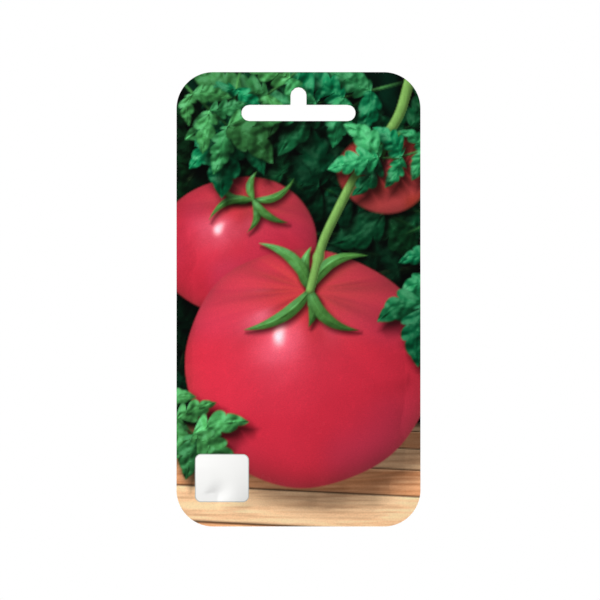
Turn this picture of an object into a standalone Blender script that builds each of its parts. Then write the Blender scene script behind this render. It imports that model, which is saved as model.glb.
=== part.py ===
"""Paper seed packet for a display hook: a printed front sheet and a back sheet, sealed
to each other round a flat pocket with loose seeds in it, and slotted through the head.

Metres, +Z up. The front faces -Y. The origin is where a hook bears: the middle of the
slot's top notch, halfway between the two sheets.
"""

import math
import random

import bmesh
import bpy
from mathutils import Euler

# The packet's outline
PACKET_WIDTH = 0.0800
PACKET_HEIGHT = 0.1490
CORNER_RADIUS = 0.0120

# The slot for a display hook, an upside-down T, measured down from the packet's top edge
SLOT_LENGTH = 0.0374
SLOT_HEIGHT = 0.0053
SLOT_CENTRE_DEPTH = 0.0134
NOTCH_WIDTH = 0.0052
NOTCH_TOP_DEPTH = 0.0050

# The paper, and the gap that two touching pieces keep
PAPER_THICKNESS = 0.0002
CONTACT_GAP = 0.0003

# The seal all round the pocket: its width at the sides and foot, and the whole flat head
SIDE_SEAL = 0.0050
FOOT_SEAL = 0.0060
HEAD_SEAL = 0.0200

# The pocket, widest open at its belly, which lies a third of the way up
BELLY_BULGE = 0.0017
BELLY_SHARE = 0.35
FOOT_FULLNESS = 5.0
HEAD_FULLNESS = 2.0
POCKET_COLUMNS = 18
POCKET_ROWS_BELOW = 14
POCKET_ROWS_ABOVE = 16

# Tomato seeds, in rows on the foot of the pocket
SEED_LENGTH = 0.0032
SEED_WIDTH = 0.0025
SEED_THICKNESS = 0.0007
SEED_TIP_TAPER = 0.32
SEED_ROWS = (8, 7, 5)
SEED_PITCH = 0.0042
SEED_FIRST_ROW = 0.0068
SEED_JITTER = 0.0003
SEED_MOST_TILT = math.radians(4.0)
SEED_SIDES = 12
SEED_RINGS = 6
RANDOM_SEED = 11

# Sides on a full circle of an outline, and how far a cutter or an uncut sheet stands past the cut
CIRCLE_SIDES = 48
CUT_MARGIN = 0.004

TOP = NOTCH_TOP_DEPTH
FOOT = TOP - PACKET_HEIGHT
POCKET_HALF_WIDTH = PACKET_WIDTH / 2 - SIDE_SEAL
POCKET_FOOT = FOOT + FOOT_SEAL
POCKET_HEAD = TOP - HEAD_SEAL
BELLY = POCKET_FOOT + BELLY_SHARE * (POCKET_HEAD - POCKET_FOOT)


def clear_scene():
    for old in list(bpy.data.objects):
        bpy.data.objects.remove(old)


def make_material(name, colour, roughness):
    """A plain finish; neither paper nor seed has any metal in it."""
    finish = bpy.data.materials.new(name)
    finish.use_nodes = True
    shader = finish.node_tree.nodes["Principled BSDF"]
    shader.inputs["Base Color"].default_value = (*colour, 1.0)
    shader.inputs["Roughness"].default_value = roughness
    shader.inputs["Metallic"].default_value = 0.0
    finish.diffuse_color = (*colour, 1.0)
    return finish


def link(name, mesh, finish):
    obj = bpy.data.objects.new(name, mesh)
    mesh.materials.clear()
    mesh.materials.append(finish)
    bpy.context.collection.objects.link(obj)
    return obj


def bulge(x, z):
    """How far a sheet's inner face stands off the seal's plane at this place.

    Across the pocket it is a parabola, as between two straight seals. Up and down it
    falls from the belly to each end by a power that says how full that end is.
    """
    across = 1.0 - min(1.0, abs(x) / POCKET_HALF_WIDTH) ** 2
    if z < BELLY:
        share = min(1.0, (BELLY - z) / (BELLY - POCKET_FOOT))
        along = 1.0 - share**FOOT_FULLNESS
    else:
        share = min(1.0, (z - BELLY) / (POCKET_HEAD - BELLY))
        along = 1.0 - share**HEAD_FULLNESS
    return BELLY_BULGE * across * along


def spaced(start, end, steps, crowding=1.0):
    """steps + 1 places from start to end, closer together near end if crowding is over 1."""
    return [end + (start - end) * (1.0 - i / steps) ** crowding for i in range(steps + 1)]


def sheet_lines():
    """The x of the sheet's columns and the z of its rows, on every edge of the seal and past the outline."""
    half = spaced(0.0, POCKET_HALF_WIDTH, POCKET_COLUMNS // 2, 1.2)
    side = PACKET_WIDTH / 2 + CUT_MARGIN
    columns = [-side] + [-x for x in reversed(half)] + half[1:] + [side]
    below = spaced(BELLY, POCKET_FOOT, POCKET_ROWS_BELOW, 1.8)
    above = spaced(BELLY, POCKET_HEAD, POCKET_ROWS_ABOVE, 1.2)
    rows = [FOOT - CUT_MARGIN] + list(reversed(below)) + above[1:] + [TOP + CUT_MARGIN]
    return columns, rows


def prism(name, outline):
    """A cutter: the outline, as (x, z) points, made solid from well before the sheets to well behind them."""
    mesh = bpy.data.meshes.new(name)
    shape = bmesh.new()
    reach = BELLY_BULGE + CUT_MARGIN
    face = shape.faces.new([shape.verts.new((x, -reach, z)) for x, z in outline])
    pushed = bmesh.ops.extrude_face_region(shape, geom=[face])
    moved = [v for v in pushed["geom"] if isinstance(v, bmesh.types.BMVert)]
    bmesh.ops.translate(shape, verts=moved, vec=(0.0, 2.0 * reach, 0.0))
    bmesh.ops.recalc_face_normals(shape, faces=shape.faces)
    shape.to_mesh(mesh)
    shape.free()
    cutter = bpy.data.objects.new(name, mesh)
    cutter.hide_render = True
    cutter.display_type = "WIRE"
    bpy.context.collection.objects.link(cutter)
    return cutter


def arc(centre_x, centre_z, radius, start_degrees, end_degrees):
    """Points along an arc, both ends included, with the sides of a circle of CIRCLE_SIDES."""
    steps = max(2, round(CIRCLE_SIDES * abs(end_degrees - start_degrees) / 360.0))
    angles = [
        math.radians(start_degrees + (end_degrees - start_degrees) * i / steps)
        for i in range(steps + 1)
    ]
    return [
        (centre_x + radius * math.cos(a), centre_z + radius * math.sin(a)) for a in angles
    ]


def packet_outline():
    """The packet's edge, anticlockwise from its right side: four quarter arcs and the straights between them."""
    x = PACKET_WIDTH / 2 - CORNER_RADIUS
    low = FOOT + CORNER_RADIUS
    high = TOP - CORNER_RADIUS
    return (
        arc(x, high, CORNER_RADIUS, 0, 90)
        + arc(-x, high, CORNER_RADIUS, 90, 180)
        + arc(-x, low, CORNER_RADIUS, 180, 270)
        + arc(x, low, CORNER_RADIUS, 270, 360)
    )


def slot_outline():
    """The hook slot's edge, anticlockwise from its right end: a long slot with round ends and a round-topped notch."""
    end = SLOT_HEIGHT / 2
    notch = NOTCH_WIDTH / 2
    middle = TOP - SLOT_CENTRE_DEPTH
    x = SLOT_LENGTH / 2 - end
    return (
        arc(x, middle, end, -90, 90)
        + [(notch, middle + end)]
        + arc(0.0, TOP - NOTCH_TOP_DEPTH - notch, notch, 0, 180)
        + [(-notch, middle + end)]
        + arc(-x, middle, end, 90, 270)
    )


def cut(obj, name, operation, cutter):
    boolean = obj.modifiers.new(name, "BOOLEAN")
    boolean.operation = operation
    boolean.solver = "EXACT"
    boolean.object = cutter


def make_sheet(name, facing, finish, outline_cutter, slot_cutter):
    """One sheet. facing is -1 for the front, whose printed side looks along -Y, and 1 for the back."""
    mesh = bpy.data.meshes.new(name)
    shape = bmesh.new()
    columns, rows = sheet_lines()
    grid = [
        [shape.verts.new((x, facing * (CONTACT_GAP / 2 + bulge(x, z)), z)) for x in columns]
        for z in rows
    ]
    for lower, upper in zip(grid, grid[1:]):
        for i in range(len(columns) - 1):
            corners = [lower[i], lower[i + 1], upper[i + 1], upper[i]]
            shape.faces.new(corners if facing < 0 else corners[::-1])
    shape.to_mesh(mesh)
    shape.free()
    mesh.shade_smooth()
    sheet = link(name, mesh, finish)
    paper = sheet.modifiers.new("paper", "SOLIDIFY")
    paper.thickness = PAPER_THICKNESS
    paper.offset = 1.0
    cut(sheet, "outline", "INTERSECT", outline_cutter)
    cut(sheet, "slot", "DIFFERENCE", slot_cutter)
    return sheet


def seed_mesh():
    """A tomato seed lying along X: a flattened ball, its poles at its ends, narrower towards the root's tip."""
    mesh = bpy.data.meshes.new("seed")
    shape = bmesh.new()
    bmesh.ops.create_uvsphere(shape, u_segments=SEED_SIDES, v_segments=SEED_RINGS, radius=0.5)
    for vertex in shape.verts:
        across, wide, along = vertex.co
        taper = 1.0 - SEED_TIP_TAPER * (along + 0.5) ** 2
        vertex.co = (SEED_LENGTH * along, SEED_THICKNESS * across, SEED_WIDTH * wide * taper)
    shape.to_mesh(mesh)
    shape.free()
    mesh.shade_smooth()
    return mesh


def make_seeds(finish):
    """The seeds as they settle in a hanging packet: flat between the sheets, in staggered rows on the pocket's foot."""
    draw = random.Random(RANDOM_SEED)
    mesh = seed_mesh()
    number = 0
    for row, count in enumerate(SEED_ROWS):
        z = POCKET_FOOT + SEED_FIRST_ROW + row * SEED_PITCH
        for i in range(count):
            number += 1
            x = (i - (count - 1) / 2) * SEED_PITCH
            seed = link(f"seed_{number:02d}", mesh, finish)
            seed.location = (
                x + draw.uniform(-SEED_JITTER, SEED_JITTER),
                0.0,
                z + draw.uniform(-SEED_JITTER, SEED_JITTER),
            )
            tilt = draw.uniform(-SEED_MOST_TILT, SEED_MOST_TILT)
            turn = draw.uniform(0.0, 2.0 * math.pi)
            seed.rotation_euler = Euler((tilt, turn, 0.0), "XYZ")


def main():
    clear_scene()
    print_side = make_material("printed_paper", (0.42, 0.06, 0.06), 0.35)
    back_side = make_material("pale_paper", (0.86, 0.84, 0.78), 0.45)
    seed_coat = make_material("seed_coat", (0.62, 0.47, 0.28), 0.85)
    outline_cutter = prism("outline_cutter", packet_outline())
    slot_cutter = prism("slot_cutter", slot_outline())
    make_sheet("front_sheet", -1, print_side, outline_cutter, slot_cutter)
    make_sheet("back_sheet", 1, back_side, outline_cutter, slot_cutter)
    make_seeds(seed_coat)


main()
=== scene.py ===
"""Looks of a paper seed packet that hangs from a display hook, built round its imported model.

Two sheets of coated paper are sealed to each other round a flat pocket, with loose tomato
seeds on the pocket's foot. The front carries a full-bleed colour picture, and the back a
pale print. Places on the packet are in metres in the frame: X across, Z up, and the
printed front faces -Y. Places in a print are in millimetres, from the middle of its foot.
"""

import logging
import math
import random
from dataclasses import dataclass, field
from enum import Enum

import bpy
import numpy as np
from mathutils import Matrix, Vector


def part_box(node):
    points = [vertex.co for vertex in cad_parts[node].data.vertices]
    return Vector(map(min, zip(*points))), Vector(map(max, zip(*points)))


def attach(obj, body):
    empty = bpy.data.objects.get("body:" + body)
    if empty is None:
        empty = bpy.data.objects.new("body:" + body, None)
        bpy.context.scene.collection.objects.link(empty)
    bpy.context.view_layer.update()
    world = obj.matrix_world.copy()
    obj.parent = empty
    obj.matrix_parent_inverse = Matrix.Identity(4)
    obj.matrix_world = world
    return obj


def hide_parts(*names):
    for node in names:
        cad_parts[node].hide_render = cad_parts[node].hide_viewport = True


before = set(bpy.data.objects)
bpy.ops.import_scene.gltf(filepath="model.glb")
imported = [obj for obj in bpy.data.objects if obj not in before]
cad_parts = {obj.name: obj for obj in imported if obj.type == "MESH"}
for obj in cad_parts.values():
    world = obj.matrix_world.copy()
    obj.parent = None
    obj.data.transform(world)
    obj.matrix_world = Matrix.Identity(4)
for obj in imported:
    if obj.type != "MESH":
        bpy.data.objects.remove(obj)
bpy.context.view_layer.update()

log = logging.getLogger("seed_packet")

Array = np.ndarray
Place = tuple[float, float]

MM = 0.001
BODY = "root"
PICTURE_ATTRIBUTE = "picture"
CUT_ATTRIBUTE = "from_cut"
BAKE_MAP = "OFBake"

# Where the picture's own light comes from: the left, above and in front
PICTURE_LIGHT = np.array([-0.42, 0.55, 0.72]) / math.sqrt(0.42**2 + 0.55**2 + 0.72**2)
# Halfway from it to the eye, where a surface shines most
PICTURE_HALFWAY = (PICTURE_LIGHT + (0, 0, 1)) / np.linalg.norm(PICTURE_LIGHT + (0, 0, 1))


# Colour and noise


def ink(red: int, green: int, blue: int) -> Array:
    """A colour as a screen shows it, in linear light.

    Args:
        red: Red, from 0 to 255.
        green: Green, from 0 to 255.
        blue: Blue, from 0 to 255.

    Returns:
        Three numbers from 0 to 1.
    """
    shown = np.array([red, green, blue]) / 255.0
    return np.where(shown <= 0.04045, shown / 12.92, ((shown + 0.055) / 1.055) ** 2.4)


def smooth(low: float, high: float, value: Array) -> Array:
    """0 up to low, 1 from high, and between them the S curve 3t^2 - 2t^3.

    Args:
        low: Where the curve leaves 0.
        high: Where it reaches 1.
        value: The numbers to look up.

    Returns:
        The curve's height at each value.
    """
    share = np.clip((value - low) / (high - low), 0.0, 1.0)
    return share * share * (3.0 - 2.0 * share)


def bell(value: Array, width: float) -> Array:
    """exp(-(value / width)^2): 1 at 0, and close to 0 beyond two widths."""
    return np.exp(-((value / width) ** 2))


def speckle(across: Array, up: Array, seed: int) -> Array:
    """Value noise: a hashed number at each whole-number place, blended between four of them by the S curve.

    Args:
        across: Places along the first direction, one unit to each number.
        up: Places along the second direction.
        seed: Which of many patterns.

    Returns:
        A number from 0 to 1 at each place.
    """
    column = np.floor(across).astype(np.int64)
    row = np.floor(up).astype(np.int64)
    right = smooth(0.0, 1.0, across - column)
    above = smooth(0.0, 1.0, up - row)

    def corner(i: Array, j: Array) -> Array:
        """The hashed number at a whole-number place."""
        mixed = (i * 374761393 + j * 668265263 + seed * 974634777) & 0xFFFFFFFF
        mixed = ((mixed ^ (mixed >> 13)) * 1274126177) & 0xFFFFFFFF
        return ((mixed ^ (mixed >> 16)) & 0xFFFF) / 65535.0

    low = corner(column, row) * (1 - right) + corner(column + 1, row) * right
    high = corner(column, row + 1) * (1 - right) + corner(column + 1, row + 1) * right
    return low * (1 - above) + high * above


def cloud(across: Array, up: Array, seed: int, octaves: int = 4) -> Array:
    """Layers of value noise, each twice as fine and half as strong as the one before.

    Args:
        across: Places along the first direction, one unit to each blotch of the coarsest layer.
        up: Places along the second direction.
        seed: Which of many patterns.
        octaves: How many layers.

    Returns:
        A number from 0 to 1 at each place.
    """
    strengths = 0.5 ** np.arange(octaves)
    total = sum(
        strength * speckle(across * 2**i + 17.3 * i, up * 2**i, seed + i)
        for i, strength in enumerate(strengths)
    )
    return total / strengths.sum()


# The printed picture


@dataclass
class Canvas:
    """Ink on the printed face, as a linear colour at each of many places.

    Args:
        across: Each place's distance in mm to the right of the print's middle.
        up: Each place's height in mm above the print's foot.
    """

    across: Array
    up: Array
    colour: Array = field(init=False)

    def __post_init__(self) -> None:
        """Starts with no ink."""
        self.colour = np.zeros((len(self.across), 3))

    def near(self, middle: Place, reach: float) -> Array:
        """The numbers of the places in a square round middle, reach mm to each side."""
        beside = np.abs(self.across - middle[0]) < reach
        return np.flatnonzero(beside & (np.abs(self.up - middle[1]) < reach))

    def lay(self, where: Array, colour: Array, cover: Array) -> None:
        """Lays a colour over the ink at some places.

        Args:
            where: The places' numbers.
            colour: One colour for each place, or one for all.
            cover: How much of the ink is covered, from 0 to 1.
        """
        share = cover[:, None]
        self.colour[where] = self.colour[where] * (1 - share) + colour * share

    def darken(self, where: Array, amount: Array, tint: Array) -> None:
        """Draws the ink at some places towards itself times tint, by amount from 0 to 1."""
        self.colour[where] *= 1 - amount[:, None] * (1 - tint)


@dataclass(frozen=True)
class OnBlade:
    """Where places lie on a leaflet's blade.

    Args:
        inside: How far inside its rim they are, in mm.
        share: Their share of the way from root to tip.
        lateral: How far to the left of the midrib they are, in mm.
        half: The blade's half width beside them, in mm.
        rank: How many side veins they are from the root, with fractions.
    """

    inside: Array
    share: Array
    lateral: Array
    half: Array
    rank: Array


@dataclass(frozen=True)
class Leaflet:
    """One blade of a leaf: pointed, toothed, folded along its midrib, and quilted between its veins.

    Args:
        root: Where the blade starts.
        heading: The direction in which it points, in radians from the right.
        length: From root to tip, in mm.
        width: Across its widest place, in mm.
        tone: Its green in full light.
        bend: How far the midrib bows to the left, as a share of the length.
        teeth: Teeth along each side, each with its vein.
        tooth: How deep the teeth are cut, as a share of the half width.
        soft: Half the width of the blurred rim, in mm.
        light: How brightly it is lit.
        quilt: How deep its veins are sunk.
        gloss: How strongly it shines where it faces the light.
        shadow: How dark a shadow it casts.
        drop: How far below it its shadow falls, in mm.
        crumple: How deep it is crumpled, in mm.
        seed: Which crumples it has.
    """

    root: Place
    heading: float
    length: float
    width: float
    tone: Array
    bend: float = 0.1
    teeth: int = 5
    tooth: float = 0.25
    soft: float = 0.2
    light: float = 1.0
    quilt: float = 1.0
    gloss: float = 0.3
    shadow: float = 0.5
    drop: float = 1.3
    crumple: float = 2.0
    seed: int = 1

    LEAN = 0.45
    VEIN_IN_TOOTH = 0.63
    FOLD = 0.30
    DROOP = 0.035
    QUILT_DEPTH = 0.14
    CRUMPLE_SIZE = 5.2
    SLOPE_STEP = 0.15
    SHADOW_ASIDE = 0.7

    @property
    def along_way(self) -> Array:
        """The unit vector from root to tip."""
        return np.array([math.cos(self.heading), math.sin(self.heading)])

    @property
    def side_way(self) -> Array:
        """The unit vector to the blade's left."""
        return np.array([-math.sin(self.heading), math.cos(self.heading)])

    @property
    def spacing(self) -> float:
        """The distance between two side veins, in mm."""
        return self.length / self.teeth

    def spread(self, right: Array, above: Array) -> OnBlade:
        """Where places lie on the blade.

        The midrib bows by a parabola. The half width is sin(pi t^0.66)^0.8 of the widest,
        cut back between the teeth, which lean forward and differ in depth.

        Args:
            right: Distances in mm to the right of the root.
            above: Distances in mm above the root.

        Returns:
            The places on the blade.
        """
        along = (right * self.along_way[0] + above * self.along_way[1]) / self.length
        share = np.clip(along, 0.0, 1.0)
        bow = 4 * self.bend * self.length * share * (1 - share)
        lateral = right * self.side_way[0] + above * self.side_way[1] - bow
        side = np.sign(lateral)
        body = np.sin(math.pi * share**0.66) ** 0.8 * self.width / 2
        rank = (share - self.LEAN * np.abs(lateral) / self.length) * self.teeth + 0.25 * side
        lobe = np.sin(math.pi * (rank - np.floor(rank)) ** 1.4) ** 0.55
        depth = self.tooth * (0.5 + speckle(np.floor(rank), side * 3.0 + self.seed, 5))
        half = body * (1 - depth * (1 - lobe) * (1.3 - share))
        past = np.maximum(-along, along - 1.0) * self.length
        inside = np.where(past > 0, -past - np.abs(lateral), (half - np.abs(lateral)) * 0.8)
        return OnBlade(inside, share, lateral, half, rank)

    def paint(self, canvas: Canvas) -> None:
        """Paints the blade's shadow, then the blade."""
        where = canvas.near(self.root, self.length * 1.15 + self.soft * 3 + 2 * self.drop)
        right = canvas.across[where] - self.root[0]
        above = canvas.up[where] - self.root[1]
        if self.shadow > 0:
            fallen = self.spread(right - self.SHADOW_ASIDE * self.drop, above + self.drop)
            dark = self.shadow * smooth(-1.3 * self.drop, 0.8 * self.drop, fallen.inside)
            canvas.darken(where, dark, ink(6, 34, 26))
        cover = np.clip(0.5 + self.spread(right, above).inside / (2 * self.soft), 0, 1)
        on = cover > 0
        canvas.lay(where[on], self.shade(right[on], above[on]), cover[on])

    def from_vein(self, on: OnBlade) -> Array:
        """Distances in mm from the nearest side vein, which runs to the tip of its tooth."""
        turned = on.rank - self.VEIN_IN_TOOTH
        return np.abs(turned - np.round(turned)) * self.spacing

    def height(self, right: Array, above: Array) -> Array:
        """How far the blade stands towards the eye.

        Broad noise crumples it, both halves fall away from the midrib, the tip droops by a
        square, and the veins are sunk in bell-shaped furrows.

        Args:
            right: Distances in mm to the right of the root.
            above: Distances in mm above the root.

        Returns:
            The height in mm.
        """
        on = self.spread(right, above)
        out = np.clip(np.abs(on.lateral) / np.maximum(on.half, 0.3), 0, 1)
        side_furrows = bell(self.from_vein(on), 0.24 * self.spacing) * smooth(0.0, 0.3, out) * (1 - 0.6 * out)
        furrows = side_furrows + 0.8 * bell(on.lateral, 0.14 * self.spacing + 0.1)
        crumple = self.crumple * cloud(
            right / self.CRUMPLE_SIZE + 40, above / self.CRUMPLE_SIZE + 40, self.seed, 3
        )
        fold = self.FOLD * np.sqrt(on.lateral**2 + 0.2)
        droop = self.DROOP * self.length * (3 * (on.share - 0.3)) ** 2
        narrowing = np.clip(on.half / (0.3 * self.width), 0, 1)
        return crumple - fold - droop - self.QUILT_DEPTH * self.quilt * self.spacing * furrows * narrowing

    def shade(self, right: Array, above: Array) -> Array:
        """The blade's colour, lit by the slope of its height, with pale veins and a cool sheen.

        Args:
            right: Distances in mm to the right of the root.
            above: Distances in mm above the root.

        Returns:
            One colour for each place.
        """
        step = self.SLOPE_STEP
        slope_x = (self.height(right + step, above) - self.height(right - step, above)) / (2 * step)
        slope_y = (self.height(right, above + step) - self.height(right, above - step)) / (2 * step)
        normal = np.stack([-slope_x, -slope_y, np.ones_like(slope_x)], axis=1)
        normal /= np.linalg.norm(normal, axis=1, keepdims=True)
        lit = np.clip(normal @ PICTURE_LIGHT, 0, 1) ** 2.2
        on = self.spread(right, above)
        out = np.clip(np.abs(on.lateral) / np.maximum(on.half, 0.3), 0, 1)
        midrib = bell(on.lateral, 0.14 + 0.010 * self.length) * (1 - 0.6 * on.share)
        side_veins = bell(self.from_vein(on), 0.16) * (1 - out) ** 0.7
        lines = np.clip(0.32 * midrib + 0.13 * side_veins, 0, 1)[:, None]
        colour = self.tone * (1 - lines) + (self.tone * 1.6 + ink(40, 84, 44)) * lines
        colour = colour * (0.08 + 1.25 * lit)[:, None]
        dusty = 0.4 + 1.2 * cloud(right / 2.2 + 60, above / 2.2 + 60, self.seed + 3, 3)
        sheen = (np.clip(normal @ PICTURE_HALFWAY, 0, 1) ** 22 * self.gloss * dusty)[:, None]
        colour = colour * (1 - sheen) + ink(126, 206, 156) * sheen
        return colour * (self.light * (1 - 0.2 * bell(on.inside, 0.35)))[:, None]


@dataclass(frozen=True)
class Stem:
    """A round stem along a smooth route.

    Args:
        points: The route's own points, which the stem's curve rounds off.
        start_width: Its width at the first point, in mm.
        end_width: Its width at the last point, in mm.
        tone: Its green in full light.
        soft: Half the width of its blurred rim, in mm.
        shadow: How dark a shadow it casts.
        veiled: The share of its length over which it comes out of the leaves behind it.
        knuckle: The share of its length at which it has a swollen joint, if it has one.
    """

    points: tuple[Place, ...]
    start_width: float
    end_width: float
    tone: Array
    soft: float = 0.25
    shadow: float = 0.5
    veiled: float = 0.0
    knuckle: float = -1.0

    STEPS = 48
    ROUNDING = 6

    def route(self) -> Array:
        """The route in STEPS points, with each inner one drawn towards its neighbours ROUNDING times."""
        knots = np.linspace(0.0, 1.0, len(self.points))
        fine = np.linspace(0.0, 1.0, self.STEPS)
        own = np.array(self.points)
        route = np.stack([np.interp(fine, knots, own[:, 0]), np.interp(fine, knots, own[:, 1])], axis=1)
        for _ in range(self.ROUNDING):
            route[1:-1] = (route[:-2] + 2 * route[1:-1] + route[2:]) / 4
        return route

    def paint(self, canvas: Canvas) -> None:
        """Paints the stem's shadow, then the stem, lit as a streaky cylinder with a downy rim."""
        route = self.route()
        middle = (route.min(axis=0) + route.max(axis=0)) / 2
        reach = float(np.ptp(route, axis=0).max()) / 2 + self.start_width * 2 + 3
        where = canvas.near((middle[0], middle[1]), reach)
        place = np.stack([canvas.across[where], canvas.up[where]], axis=1)
        nearest = np.full(len(where), np.inf)
        aside = np.zeros((len(where), 2))
        share = np.zeros(len(where))
        for i, (start, end) in enumerate(zip(route, route[1:])):
            step = end - start
            part = np.clip((place - start) @ step / (step @ step), 0, 1)
            off = place - start - part[:, None] * step
            distance = np.hypot(off[:, 0], off[:, 1])
            closer = distance < nearest
            nearest[closer] = distance[closer]
            aside[closer] = off[closer]
            share[closer] = (i + part[closer]) / (len(route) - 1)
        shown = smooth(0.0, self.veiled, share) if self.veiled else np.ones(len(where))
        half = (self.start_width + (self.end_width - self.start_width) * share) / 2
        half = half * (1 + 0.35 * bell(share - self.knuckle, 0.022))
        shadow = self.shadow * shown * (1 - smooth(0.6, 2.2, nearest / half))
        canvas.darken(where, shadow, ink(30, 60, 40))
        turn = aside / half[:, None]
        front = np.sqrt(np.clip(1 - (turn**2).sum(axis=1), 0, 1))
        lit = np.clip(turn @ PICTURE_LIGHT[:2] + front * PICTURE_LIGHT[2], 0, 1)
        streaks = 0.80 + 0.40 * cloud(place[:, 0] / 0.45 + 90, place[:, 1] / 2.2 + 90, 11, 3)
        down = 0.45 * (1 - front) ** 2
        colour = self.tone * ((0.22 + 0.88 * lit + down) * streaks)[:, None]
        colour += ink(150, 170, 120) * (0.22 * lit**12 * streaks)[:, None]
        canvas.lay(where, colour, shown * np.clip(0.5 + (half - nearest) / (2 * self.soft), 0, 1))


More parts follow.
